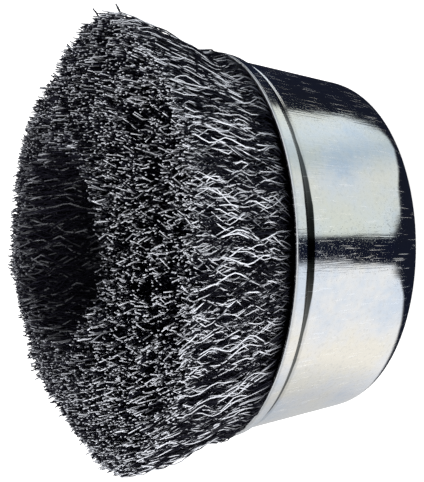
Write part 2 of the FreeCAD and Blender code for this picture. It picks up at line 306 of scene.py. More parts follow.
def floorMaterial(settings):
    material = bpy.data.materials.new("paleFloor")
    material.use_nodes = True
    tree = material.node_tree
    tree.nodes.clear()
    output = addNode(tree, "ShaderNodeOutputMaterial")
    seen, glossy = seenAndMirrored(tree)
    matte = addNode(tree, "ShaderNodeBsdfDiffuse")
    matte.inputs["Color"].default_value = settings["floorColour"]
    glow = addNode(tree, "ShaderNodeEmission")
    plug(tree, product(tree, seen, settings["floorGlow"]), glow.inputs["Strength"])
    plain = addNode(tree, "ShaderNodeAddShader")
    plug(tree, matte.outputs[0], plain.inputs[0])
    plug(tree, glow.outputs[0], plain.inputs[1])

    # What bright metal mirrors: a lit ring round the cup with the dark slit in it
    spots = objectSpots(tree)
    distance = vectors(tree, "LENGTH", spots)
    around = aroundAxis(tree, spots)
    # The ramp's greys hold the edge in tenths of a metre
    nearEdge = roundRamp(tree, around, [(degrees, (edge * 10,) * 3) for degrees, edge in settings["cardEdge"]])
    inside = less(tree, distance, product(tree, nearEdge, 0.1))
    blur = settings["arcBlur"]
    arcLow, arcHigh = settings["farArc"]
    arc = product(tree, ranged(tree, distance, arcLow - blur, arcLow + blur),
                  ranged(tree, distance, arcHigh - blur, arcHigh + blur, 1.0, 0.0),
                  ranged(tree, around, *settings["arcTurn"]))
    card = mixedColour(tree, settings["darkColour"], roundRamp(tree, around, settings["mirrored"]),
                       ranged(tree, inside, -settings["cardBlur"], settings["cardBlur"]))
    mirrored = addNode(tree, "ShaderNodeEmission")
    plug(tree, mixedColour(tree, card, settings["arcColour"], arc), mirrored.inputs["Color"])
    plug(tree, ranged(tree, distance, *settings["cardFade"], 1.0, settings["farGlow"]),
         mirrored.inputs["Strength"])
    both = addNode(tree, "ShaderNodeMixShader")
    plug(tree, glossy, both.inputs[0])
    plug(tree, plain.outputs[0], both.inputs[1])
    plug(tree, mirrored.outputs[0], both.inputs[2])
    plug(tree, both.outputs[0], output.inputs["Surface"])
    return material


def makeFloor(settings):
    reach = settings["floorRadius"]
    turns = [math.radians(degrees) for degrees in range(0, 360, settings["floorStep"])]
    mesh = bpy.data.meshes.new("floor")
    mesh.from_pydata([(reach * math.cos(turn), reach * math.sin(turn), 0) for turn in turns], [],
                     [tuple(range(len(turns)))])
    mesh.materials.append(floorMaterial(settings))
    floor = newObject("floor", mesh)


def softLight(name, form):
    data = bpy.data.lights.new(name, "AREA")
    data.shape = "RECTANGLE"
    data.size, data.size_y, data.energy = form["width"], form["width"], form["power"]
    lamp = bpy.data.objects.new(name, data)
    lamp.location = form["spot"]
    lamp.rotation_euler = (Vector(form["aim"]) - Vector(form["spot"])).to_track_quat("-Z", "Y").to_euler()
    lamp.visible_glossy = False
    bpy.context.scene.collection.objects.link(lamp)


makeWorld(studio)
makeFloor(studio)
for lampName, lampForm in lamps.items():
    softLight(lampName, lampForm)
print("studio lit")


# Crimped wires: one Geometry Nodes tree makes the outer, the trimmed and the hollow's wires

wireFan = {                  # mm; the inner edge is the hollow's, the outer edge stands above the lip
    "Inner Root Radius": 20.9,
    "Outer Root Radius": 37.6,
    "Inner Root Height": 30.0,
    "Outer Root Height": 31.0,
    "Inner Tip Radius": 22.2,
    "Outer Tip Radius": 49.7,
    "Inner Tip Height": 75.0,
    "Outer Tip Height": 63.5,
    "Face Crown": 1.0,
    "Low Turn": -math.pi,
    "High Turn": math.pi,
    "Wire Radius": 0.19,
    "Crimp Pitch": 9.3,
    "Crimp Height": 0.95,
    "Crimp Spread": 0.18,    # share by which the pitch varies
    "Scatter": 1.1,
    "Bulge": 0.0,
    "Flank": 1.5,            # how far the tufts on two opposite sides stand out
    "Mouth Swell": 0.0,      # outward, just above the lip
    "Tip Bend": 6.0,         # how far neighbours turn aside together near their tips
    "Long Wave": 0.9,        # a slower sway under the crimp
    "Polished And Highlit": 0.14,        # share of the wires that are rubbed bright and carry painted highlights
    "Slant": 4.2,
    "Tuft Size": 7.0,
    "Tuft Lean": 5.0,
    "Tuft Trim": 2.4,
    "Trim Scatter": 1.2,
    "Edge Scatter": 0.0,     # how ragged the hollow's edge is
}

# What the tree keeps for every wire: mm from the root, shares of a wire's length, or levels of noise.
# Four numbers are a step: where it starts and ends, and its values before and after
wireHabits = {
    "seedStep": 100.0,
    "nestCells": 0.11,                       # noise cells a mm, for crimps that nest in each other
    "nestLevel": 40.0,
    "crimpTurns": (20.0, 4.6),               # radians of crimp, shared with neighbours and a wire's own
    "crimpFill": 0.84,                       # 0 for a sine wave, 1 for a zigzag
    "crimpHeights": (0.65, 1.25),
    "crimpPlanes": (3.0, 0.6),               # radians, shared with neighbours and a wire's own, each way
    "loosening": (5.0, 15.0, 0.15, 0.7),     # the cup holds the wires flat at its mouth
    "longWave": 23.0,                        # mm
    "longTurns": (12.0, 5.0),                # radians of the long wave
    "tuftDetail": 1.5,
    "tuftSideways": 2.0,                     # times the lean outward
    "tuftCut": (-0.22, 0.22),
    "tuftMost": (0.4, 2.5),                  # mm a tuft leans out at most, at the rim and at the hollow
    "scatterOut": (-1.0, 0.6),
    "edgePower": 5.0,
    "edgeOut": (-0.5, 0.3),
    "edgeCutPower": 6.0,
    "farTrim": (0.1, 0.6, 1.0, 0.4),         # the far side is trimmed more evenly
    "trimPower": 2.0,
    "lopsided": -1.1,                        # mm of swell towards +X
    "lopsidedLeast": -0.1,
    "flankRise": (0.38, 0.70),
    "flankFall": (0.84, 1.0, 1.0, 0.0),
    "flankPower": 5.0,                       # how narrow the two tufts are
    "flankSides": (-0.2, 0.2, 0.73, 1.0),    # the one at -X stands out less
    "mouthRise": (3.5, 7.2),
    "mouthFall": (7.4, 12.5, 1.0, 0.0),
    "mouthSides": (0.5, 0.9, 0.35, 1.0),
    "bendPower": 5.0,
    "polishStep": (0.96, 1.04),
    "edgeUse": (0.0, 0.30, 0.35, 1.0),       # the hollow's edge touches the work least
    "sides": 3,                              # of a wire's section
}

# Where the outer wires are cut short: degrees round from +X, half width in degrees, mm
wornSides = (
    (155.0, 30.0, 5.2), (118.0, 18.0, 3.4), (133.0, 5.0, 2.4), (24.0, 19.0, 3.8), (39.0, 8.5, 3.6),
    (47.5, 2.2, 2.4), (72.0, 10.0, 5.1), (84.0, 6.0, 1.0), (172.0, 4.0, 0.9), (181.0, 9.0, 2.8))

strayForm = {
    "Points": 8, "Low Share": 1.0, "High Share": 1.0, "Length": 60.0, "Crimp Height": 0.1,
    "Wire Radius": 0.2, "Trim Scatter": 1.5, "Tuft Trim": 0.0, "Slant": 0.5, "Scatter": 0.3,
    "Polished And Highlit": 0.0, "Tip Bend": 0.0, "Flank": 0.0, "Long Wave": 0.0,
}

# Low Share and High Share are where the tips stand, from the hollow's edge to the outer one
wireGroups = {
    "outer_wires_a": {
        "Wires": 1500, "Points": 19, "Low Share": 0.92, "High Share": 1.0, "Length": 31.0, "Seed": 3,
        "Crimp Height": 0.9, "Wire Radius": 0.155, "Trim Scatter": 5.0, "Slant": 5.0, "Bulge": 1.5,
        "Mouth Swell": 2.2, "Polished And Highlit": 0.78},
    "outer_wires_b": {
        "Wires": 1500, "Points": 19, "Low Share": 0.86, "High Share": 0.99, "Length": 31.0, "Seed": 5,
        "Crimp Height": 0.85, "Wire Radius": 0.145, "Trim Scatter": 3.0, "Slant": 3.5, "Bulge": 1.0,
        "Mouth Swell": 1.9, "Polished And Highlit": 0.65},
    "face_wires_a": {
        "Wires": 3900, "Points": 7, "Low Share": 0.0, "High Share": 0.5, "Length": 13.0, "Seed": 7,
        "Edge Scatter": 9.0, "Wire Radius": 0.16, "Polished And Highlit": 0.12},
    "face_wires_b": {
        "Wires": 4600, "Points": 7, "Low Share": 0.5, "High Share": 1.0, "Length": 13.0, "Seed": 9,
        "Wire Radius": 0.16, "Polished And Highlit": 0.14},
    "face_wires_c": {
        "Wires": 5600, "Points": 5, "Low Share": 0.0, "High Share": 1.0, "Length": 9.0, "Seed": 15,
        "Edge Scatter": 8.0, "Wire Radius": 0.155, "Trim Scatter": 0.5, "Polished And Highlit": 0.04},
    "hollow_wires": {
        "Wires": 1100, "Points": 17, "Low Share": 0.0, "High Share": 0.08, "Length": 44.0, "Seed": 13,
        "Edge Scatter": 3.0, "Polished And Highlit": 0.40},
    "stray_wires_a": {
        "Wires": 3, "Low Turn": 0.0, "High Turn": 0.035, "Seed": 4, "Outer Root Radius": 45.0,
        "Outer Root Height": 57.5, "Outer Tip Radius": 52.1, "Outer Tip Height": 63.4, **strayForm},
    "stray_wires_b": {
        "Wires": 3, "Low Turn": -0.02, "High Turn": 0.015, "Seed": 6, "Outer Root Radius": 45.5,
        "Outer Root Height": 53.5, "Outer Tip Radius": 52.5, "Outer Tip Height": 59.2, **strayForm},
}


def randomShare(tree, ident, seed, low=0.0, high=1.0):
    node = addNode(tree, "FunctionNodeRandomValue", data_type="FLOAT")
    floats = [s for s in node.inputs if s.type == "VALUE" and s.enabled]
    plug(tree, low, floats[0])
    plug(tree, high, floats[1])
    plug(tree, ident, node.inputs["ID"])
    plug(tree, seed, node.inputs["Seed"])
    return [s for s in node.outputs if s.type == "VALUE" and s.enabled][0]


def crimpedWireTree(habits):
    tree = bpy.data.node_groups.new("crimpedWires", "GeometryNodeTree")
    face = tree.interface
    whole = [(name, "Int") for name in ("Wires", "Points", "Seed")]
    lengths = [(name, "Float") for name in ("Low Share", "High Share", "Length", *wireFan)]
    for name, kind in (*whole, *lengths, ("Material", "Material")):
        face.new_socket(name, in_out="INPUT", socket_type="NodeSocket" + kind)
    face.new_socket("Geometry", in_out="OUTPUT", socket_type="NodeSocketGeometry")
    given = addNode(tree, "NodeGroupInput").outputs
    output = addNode(tree, "NodeGroupOutput")

    # The quarter keeps rounding from moving a wire's first point to the wire before it
    points = addNode(tree, "GeometryNodePoints")
    plug(tree, product(tree, given["Wires"], given["Points"]), points.inputs["Count"])
    index = addNode(tree, "GeometryNodeInputIndex").outputs[0]
    wire = calc(tree, "FLOOR", calc(tree, "DIVIDE", total(tree, index, 0.25), given["Points"]))
    step = less(tree, index, product(tree, wire, given["Points"]))
    share = calc(tree, "DIVIDE", step, less(tree, given["Points"], 1.0))

    def seeded(number, low=0.0, high=1.0):
        return randomShare(tree, wire, total(tree, given["Seed"], habits["seedStep"] * number), low, high)

    # Equal areas of the face: the tip's radius squared is spread evenly
    lowRadius = mixed(tree, given["Inner Tip Radius"], given["Outer Tip Radius"], given["Low Share"])
    highRadius = mixed(tree, given["Inner Tip Radius"], given["Outer Tip Radius"], given["High Share"])
    tipRadius = calc(tree, "SQRT", mixed(tree, product(tree, lowRadius, lowRadius),
                                         product(tree, highRadius, highRadius), seeded(1)))
    place = calc(tree, "DIVIDE", less(tree, tipRadius, given["Inner Tip Radius"]),
                 less(tree, given["Outer Tip Radius"], given["Inner Tip Radius"]))
    inner = less(tree, 1.0, place, clamp=True)
    crown = product(tree, product(tree, given["Face Crown"], 4.0), product(tree, place, less(tree, 1.0, place)))
    tipHeight = total(tree, mixed(tree, given["Inner Tip Height"], given["Outer Tip Height"], place), crown)
    rootRadius = mixed(tree, given["Inner Root Radius"], given["Outer Root Radius"], place)
    rootHeight = mixed(tree, given["Inner Root Height"], given["Outer Root Height"], place)
    angle = seeded(2, given["Low Turn"], given["High Turn"])
    lean = seeded(3, -1.0, 1.0)                      # across the row, so that wires cross
    lean = product(tree, lean, given["Slant"], calc(tree, "ABSOLUTE", lean))

    cosine, sine = calc(tree, "COSINE", angle), calc(tree, "SINE", angle)
    sideOn = calc(tree, "ABSOLUTE", cosine)          # 1 at the two sides, 0 at the front and back
    outward = combine(tree, cosine, sine, 0.0)
    around = combine(tree, product(tree, sine, -1.0), cosine, 0.0)
    root = shifted(tree, combine(tree, 0.0, 0.0, rootHeight), (outward, rootRadius))
    tip = shifted(tree, combine(tree, 0.0, 0.0, tipHeight), (outward, tipRadius))

    # Crimps of neighbours nest in each other
    nestSpots = combine(tree, product(tree, cosine, tipRadius), product(tree, sine, tipRadius), habits["nestLevel"])
    nested = separate(tree, noiseNode(tree, scaled(tree, nestSpots, habits["nestCells"]), 1.0, 1.0)["Color"])

    # Neighbours lean together in tufts
    tuftSpots = scaled(tree, tip, calc(tree, "DIVIDE", 1.0, given["Tuft Size"]))
    tufts = noiseNode(tree, tuftSpots, 1.0, habits["tuftDetail"])["Color"]
    parts = separate(tree, vectors(tree, "SUBTRACT", tufts, (0.5, 0.5, 0.5)))
    tuftSide = product(tree, parts["X"], product(tree, given["Tuft Lean"], habits["tuftSideways"]))
    tuftOut = calc(tree, "MINIMUM", product(tree, parts["Y"], given["Tuft Lean"]),
                   mixed(tree, *habits["tuftMost"], inner))
    edgeOut = product(tree, calc(tree, "POWER", inner, habits["edgePower"]), given["Edge Scatter"],
                      seeded(14, *habits["edgeOut"]))
    tip = shifted(tree, tip, (around, tuftSide), (outward, tuftOut), (outward, edgeOut), (around, lean),
                  (outward, product(tree, given["Scatter"], seeded(4, *habits["scatterOut"]))))
    root = shifted(tree, root, (around, product(tree, given["Scatter"], seeded(5, -1.0, 1.0))))
    fullLength = vectors(tree, "DISTANCE", root, tip)
    run = vectors(tree, "NORMALIZE", vectors(tree, "SUBTRACT", tip, root))

    # Uneven trim: each wire is cut a little short, and the brush is worn lower in places
    cut = product(tree, given["Trim Scatter"], ranged(tree, sine, *habits["farTrim"]),
                  calc(tree, "POWER", seeded(6), habits["trimPower"]))
    edgeCut = product(tree, given["Edge Scatter"], calc(tree, "POWER", inner, habits["edgeCutPower"]), seeded(13))
    cut = total(tree, cut, edgeCut, ranged(tree, parts["Z"], *habits["tuftCut"], 0.0, given["Tuft Trim"]))
    for middle, width, depth in wornSides:
        gap = calc(tree, "ABSOLUTE", less(tree, angle, math.radians(middle)))
        gap = calc(tree, "MINIMUM", gap, less(tree, 2 * math.pi, gap))
        cut = total(tree, cut, product(tree, ranged(tree, gap, 0.0, math.radians(width), depth, 0.0), place))
    end = less(tree, fullLength, cut)
    start = calc(tree, "MAXIMUM", 0.0, less(tree, end, given["Length"]))
    travel = mixed(tree, start, end, share)
    reached = calc(tree, "DIVIDE", travel, fullLength)

    # The crimp: a wave with flattened slopes, in a plane that turns a little from wire to wire
    sharedTurn, ownTurn = habits["crimpTurns"]
    pitch = product(tree, given["Crimp Pitch"],
                    total(tree, 1.0, product(tree, given["Crimp Spread"], seeded(7, -1.0, 1.0))))
    turn = total(tree, product(tree, nested["X"], sharedTurn), seeded(8, 0.0, ownTurn),
                 product(tree, calc(tree, "DIVIDE", travel, pitch), 2 * math.pi))
    wave = calc(tree, "ARCSINE", product(tree, calc(tree, "SINE", turn), habits["crimpFill"]))
    wave = calc(tree, "DIVIDE", wave, math.asin(habits["crimpFill"]))
    sway = product(tree, given["Crimp Height"], seeded(9, *habits["crimpHeights"]), wave)
    sharedPlane, ownPlane = habits["crimpPlanes"]
    plane = total(tree, seeded(10, -ownPlane, ownPlane), product(tree, less(tree, nested["Y"], 0.5), sharedPlane))
    sideways = scaled(tree, around, product(tree, sway, calc(tree, "COSINE", plane)))
    outSway = product(tree, sway, ranged(tree, travel, *habits["loosening"]), calc(tree, "SINE", plane))

    # The bundle swells half way up, less towards +X, and a tuft stands out on either side
    along = calc(tree, "SINE", product(tree, reached, math.pi))
    lopsided = product(tree, calc(tree, "MAXIMUM", cosine, habits["lopsidedLeast"]), habits["lopsided"], place)
    swell = product(tree, along, along, total(tree, given["Bulge"], lopsided))
    flank = product(tree, ranged(tree, reached, *habits["flankRise"]), ranged(tree, reached, *habits["flankFall"]),
                    place, calc(tree, "POWER", sideOn, habits["flankPower"]),
                    ranged(tree, cosine, *habits["flankSides"]), given["Flank"])
    sharedTurn, ownTurn = habits["longTurns"]
    slow = total(tree, product(tree, nested["Z"], sharedTurn), seeded(15, 0.0, ownTurn),
                 product(tree, travel, 2 * math.pi / habits["longWave"]))
    mouth = product(tree, ranged(tree, travel, *habits["mouthRise"]), ranged(tree, travel, *habits["mouthFall"]),
                    ranged(tree, sideOn, *habits["mouthSides"]), given["Mouth Swell"])
    aside = shifted(tree, scaled(tree, around, less(tree, nested["Z"], 0.5)),
                    (outward, product(tree, less(tree, nested["X"], 0.5), inner)))
    turnedAside = product(tree, calc(tree, "POWER", reached, habits["bendPower"]), given["Tip Bend"])
    sideways = shifted(tree, sideways, (outward, outSway), (outward, total(tree, swell, flank)),
                       (around, product(tree, calc(tree, "SINE", slow), given["Long Wave"])),
                       (outward, mouth), (aside, turnedAside))
    spot = vectors(tree, "ADD", shifted(tree, root, (run, travel)), sideways)

    # What the material reads: a number for each wire, and the mm from its cut end and from its root
    # polish marks the wires that are rubbed bright and carry painted highlights
    dull, bright = habits["polishStep"]
    polish = ranged(tree, seeded(12), less(tree, dull, given["Polished And Highlit"]), less(tree, bright, given["Polished And Highlit"]))
    marked = points.outputs[0]
    for name, value in (("tone", seeded(11)), ("polish", polish), ("used", ranged(tree, place, *habits["edgeUse"])),
                        ("fromCut", less(tree, end, travel)), ("fromRoot", travel)):
        store = addNode(tree, "GeometryNodeStoreNamedAttribute", data_type="FLOAT", domain="POINT")
        plug(tree, marked, store.inputs["Geometry"])
        store.inputs["Name"].default_value = name
        plug(tree, value, store.inputs["Value"])
        marked = store.outputs[0]
    placed = addNode(tree, "GeometryNodeSetPosition")
    plug(tree, marked, placed.inputs["Geometry"])
    plug(tree, scaled(tree, spot, mm), placed.inputs["Position"])
    curves = addNode(tree, "GeometryNodePointsToCurves")
    plug(tree, placed.outputs[0], curves.inputs["Points"])
    plug(tree, wire, curves.inputs["Curve Group ID"])
    plug(tree, step, curves.inputs["Weight"])
    profile = addNode(tree, "GeometryNodeCurvePrimitiveCircle", mode="RADIUS")
    profile.inputs["Resolution"].default_value = habits["sides"]
    plug(tree, product(tree, given["Wire Radius"], mm), profile.inputs["Radius"])
    tubes = addNode(tree, "GeometryNodeCurveToMesh")
    plug(tree, curves.outputs[0], tubes.inputs["Curve"])
    plug(tree, profile.outputs[0], tubes.inputs["Profile Curve"])
    tubes.inputs["Fill Caps"].default_value = True
    smooth = addNode(tree, "GeometryNodeSetShadeSmooth")
    plug(tree, tubes.outputs[0], smooth.inputs["Geometry"])
    plug(tree, True, smooth.inputs["Shade Smooth"])
    real = addNode(tree, "GeometryNodeRealizeInstances")
    plug(tree, smooth.outputs[0], real.inputs[0])
    painted = addNode(tree, "GeometryNodeSetMaterial")
    plug(tree, real.outputs[0], painted.inputs["Geometry"])
    plug(tree, given["Material"], painted.inputs["Material"])
    plug(tree, painted.outputs[0], output.inputs[0])
    return tree


def growWires(name, tree, values, material):
    # The tree's inputs are set by their identifiers, then its result becomes a plain mesh
    seedling = newObject(name + "_seed", bpy.data.meshes.new(name + "_seed"))
    modifier = seedling.modifiers.new("wires", "NODES")
    modifier.node_group = tree
    for item in tree.interface.items_tree:
        if item.item_type == "SOCKET" and item.in_out == "INPUT":
            modifier[item.identifier] = material if item.name == "Material" else values[item.name]
    bpy.context.view_layer.update()
    graph = bpy.context.evaluated_depsgraph_get()
    mesh = bpy.data.meshes.new_from_object(seedling.evaluated_get(graph))
    mesh.name = name
    seedling.modifiers.remove(modifier)
    bpy.data.objects.remove(seedling)
    piece = newObject(name, mesh)
    triangles = sum(len(face.vertices) - 2 for face in mesh.polygons)
    print(name, triangles, "triangles")
    return piece


# Materials

def newMaterial(name):
    material = bpy.data.materials.new(name)
    material.use_nodes = True
    tree = material.node_tree
    return material, tree, tree.nodes["Principled BSDF"].inputs


def attribute(tree, name):
    return addNode(tree, "ShaderNodeAttribute", attribute_name=name).outputs["Fac"]


def facingOut(tree):
    # 1 where the surface faces away from the axis, -1 where it faces towards it
    coordinates = addNode(tree, "ShaderNodeTexCoord").outputs
    outward = vectors(tree, "NORMALIZE", vectors(tree, "MULTIPLY", coordinates["Object"], (1, 1, 0)))
    return vectors(tree, "DOT_PRODUCT", outward, coordinates["Normal"])


springSteel = {
    "dark": (0.020, 0.020, 0.032, 1),
    # Painted shade: the sides facing the axis are darker, and darkest deep in the brush
    "inward": (0.024, 0.022, 0.035, 1),
    "deepInside": (0.009, 0.009, 0.012, 1),
    "deepFrom": (4.0, 18.0),             # mm from the cut end over which the painted shade on the sides facing the axis deepens
    "pale": (0.84, 0.86, 0.92, 1),
    "roughness": (0.22, 0.36),
    "grain": (900.0, 3.0),               # noise scale and detail
    "grainLevels": (0.35, 0.65),
    "rubbedHighlitCells": (0.11, 733.0),        # noise cells a mm of wire, and between the wires
    "rubbedAndHighlit": (0.48, 0.55),              # noise levels between which a stretch turns from dark to bright
    "brightTips": (0.75, 0.83),
    "brightCuts": (0.64, 0.70),
    "draws": (57.0, 19.0, 83.0),         # a wire's further random numbers: tip's length, tip, cut
    "longestTip": 3.6,                   # mm of bright wire behind a cut end
    "tipFade": (0.2, 0.9, 1.0, 0.0),     # mm
    "cutEnd": (0.12, 0.50, 1.0, 0.0),    # mm, the bright cut itself: fresh-cut steel with a painted glint
    "cutScatter": 0.5,
    "scatter": 0.55,                     # how much of a bright stretch is matte instead of mirror: fine scratches and painted highlight
    "paintedShade": (6.0, 12.8),                # mm from the root over which the painted shade at the cup's mouth fades from the wires
    "facing": (-0.6, 0.4, 0.36, 1.0),    # only the sides that face out of the brush are rubbed bright; the sides facing the axis get painted shade
    # share of matte on the sides facing the axis, painted shade that dulls their reflection
    "inwardMatte": 0.5,
}


def springSteelMaterial(values):
    material, tree, shader = newMaterial("springSteelWire")
    tone, fromCut = attribute(tree, "tone"), attribute(tree, "fromCut")
    tipLength, tipShare, cutShare = (calc(tree, "FRACT", product(tree, tone, draw)) for draw in values["draws"])
    # Bright stretches at another place on each wire, and bright tips of several lengths: rubbed bright steel with
    # painted highlights and glints
    alongCells, wireCells = values["rubbedHighlitCells"]
    rubAndHighlightSpots = combine(tree, product(tree, fromCut, alongCells), product(tree, tone, wireCells), 0.0)
    rubAndHighlight = noiseNode(tree, rubAndHighlightSpots, 1.0, 1.0, noise_dimensions="2D")["Fac"]
    stretch = product(tree, ranged(tree, rubAndHighlight, *values["rubbedAndHighlit"]), attribute(tree, "polish"))
    pastTip = less(tree, fromCut, product(tree, tipLength, values["longestTip"]))
    tip = product(tree, ranged(tree, pastTip, *values["tipFade"]), ranged(tree, tipShare, *values["brightTips"]))
    cutEnd = product(tree, ranged(tree, fromCut, *values["cutEnd"]), ranged(tree, cutShare, *values["brightCuts"]))
    ends = product(tree, calc(tree, "MAXIMUM", tip, cutEnd), attribute(tree, "used"))
    # Painted shade on the wires just above the cup's mouth, where the lip shades them
    outOfMouthShade = ranged(tree, attribute(tree, "fromRoot"), *values["paintedShade"])
    facing = ranged(tree, facingOut(tree), *values["facing"])
    bright = product(tree, calc(tree, "MAXIMUM", stretch, ends), outOfMouthShade, facing)
    # Painted shade on the sides that face the axis, deeper further from the cut end
    deep = ranged(tree, fromCut, *values["deepFrom"])
    dark = mixedColour(tree, mixedColour(tree, values["inward"], values["deepInside"], deep), values["dark"], facing)
    plug(tree, mixedColour(tree, dark, values["pale"], bright), shader["Base Color"])
    # The sides facing the axis lose part of their reflection, as painted shade
    inwardMatte = product(tree, less(tree, 1.0, facing), values["inwardMatte"])
    scatter = calc(tree, "MAXIMUM", inwardMatte, product(tree, bright, values["scatter"]))
    plug(tree, less(tree, 1.0, mixed(tree, scatter, values["cutScatter"], cutEnd)), shader["Metallic"])
    grain = noiseOn(tree, objectSpots(tree), *values["grain"])
    plug(tree, ranged(tree, grain, *values["grainLevels"], *values["roughness"]), shader["Roughness"])
    return material


shadeCore = {                   # a dark shell behind the wires, painted shade in place of the dense wire mass
    "outline": (             # mm from the axis and above the floor
        (21.0, 26.0), (36.4, 26.0), (36.6, 33.0), (45.2, 57.0), (43.4, 59.4),
        (34.0, 64.0), (26.4, 67.8), (24.8, 66.8), (22.4, 45.0)),
    "turns": 96,
    "grain": (700.0, 3.0),
    "tints": ((0.35, (0.018, 0.018, 0.026, 1)), (0.7, (0.065, 0.065, 0.080, 1))),
    "roughness": 0.9,
    "shine": 0.05,
}


def shadeCoreMaterial(values):
    material, tree, shader = newMaterial("paintedShadeCore")
    grain = noiseOn(tree, objectSpots(tree), *values["grain"])
    plug(tree, colourRamp(tree, grain, values["tints"]), shader["Base Color"])
    shader["Roughness"].default_value = values["roughness"]
    shader["Specular IOR Level"].default_value = values["shine"]
    return material


wireMaterial = springSteelMaterial(springSteel)
wireTree = crimpedWireTree(wireHabits)
for name, group in wireGroups.items():
    piece = growWires(name, wireTree, {**wireFan, **group}, wireMaterial)
    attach(piece, "root")
    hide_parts("wire_fill")

# The dark shell is painted shade that hides the gaps between the wires
coreOutline = [(radius * mm, height * mm) for radius, height in shadeCore["outline"]]
core = newObject("wire_shade_core", latheMesh("wire_shade_core", coreOutline, shadeCore["turns"]))
core.data.materials.append(shadeCoreMaterial(shadeCore))
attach(core, "root")
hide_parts("wire_fill")
print("wires grown")


# Cup: bright zinc-plated pressed steel, drawn deep, with a rolled collar at its mouth

cupForm = {                  # mm; pairs are radius and height, or steps out and up from the point before them
    "turns": 256,
    "sheet": 1.5,
    "taper": 11.2,           # degrees
    "corner": 8.8,
    "seat": 2.0,             # the back's height above the floor
    "neck": 9.5,
    "backStops": (3, 15.5),  # further points of the flat back, outward from the neck
    "wallStops": (15, 20, 25, 30, 31.7, 32.0),
    "insideStops": (30, 22, 14),
    "wallEnd": (40.7, 33.0),
    # The groove under the collar, then the collar's rounded shoulder and its band
    "groove": ((-0.24, -0.75), (-0.30, -0.45), (-0.28, -0.15), (-0.16, 0.12), (0.06, 0.36), (0.36, 0.58),
               (0.66, 0.78)),
    "shoulder": (41.75, 34.5),
    "shoulderSteps": ((-0.20, -0.50), (-0.04, -0.24), (0.06, 0.06), (0.14, 0.5), (0.26, 1.0)),
    "lip": (42.2, 36.9),
    "lipSteps": ((-0.06, -1.0), (0.0, -0.62), (0.02, -0.46)),
    "lipCentre": (-0.33, -0.35),
    "lipRound": 0.35,
    "mouthCentre": (-0.62, -0.5),
    "mouthRound": 0.5,
}


def arcPoints(centre, radius, first, last, count):
    spots = []
    for step in range(count + 1):
        angle = math.radians(first + (last - first) * step / count)
        spots.append((centre[0] + radius * math.cos(angle), centre[1] + radius * math.sin(angle)))
    return spots


def stepsFrom(spot, steps):
    return [(spot[0] + out, spot[1] + up) for out, up in steps]


def cupOutline(form):
    taper = math.radians(form["taper"])
    sheet, corner, seat, lip = form["sheet"], form["corner"], form["seat"], form["lip"]
    wallRadius, wallTop = form["wallEnd"]
    shoulderRadius, shoulderTop = form["shoulder"]

    def wallAt(height):
        return wallRadius - (wallTop - height) * math.tan(taper)

    centre = (wallAt(seat + corner) - corner / math.cos(taper), seat + corner)
    backRadii = [form["neck"], *(form["neck"] + stop for stop in form["backStops"])]
    outside = [(radius, seat) for radius in backRadii]
    outside += arcPoints(centre, corner, -90, -form["taper"], 16)
    outside += [(wallAt(height), height) for height in form["wallStops"]]
    outside += stepsFrom(form["wallEnd"], form["groove"])
    outside += stepsFrom(form["shoulder"], form["shoulderSteps"])
    outside += stepsFrom(lip, form["lipSteps"])
    outside += arcPoints(*stepsFrom(lip, [form["lipCentre"]]), form["lipRound"], 0, 90, 6)[1:]
    inside = arcPoints(*stepsFrom(lip, [form["mouthCentre"]]), form["mouthRound"], 90, 180, 5)
    inside += [(shoulderRadius - sheet, shoulderTop), (wallRadius - sheet, wallTop)]
    inside += [(wallAt(height) - sheet / math.cos(taper), height) for height in form["insideStops"]]
    inside += arcPoints(centre, corner - sheet, -form["taper"], -90, 8)
    inside += [(radius, seat + sheet) for radius in reversed(backRadii)]
    return [(radius * mm, height * mm) for radius, height in outside + inside]


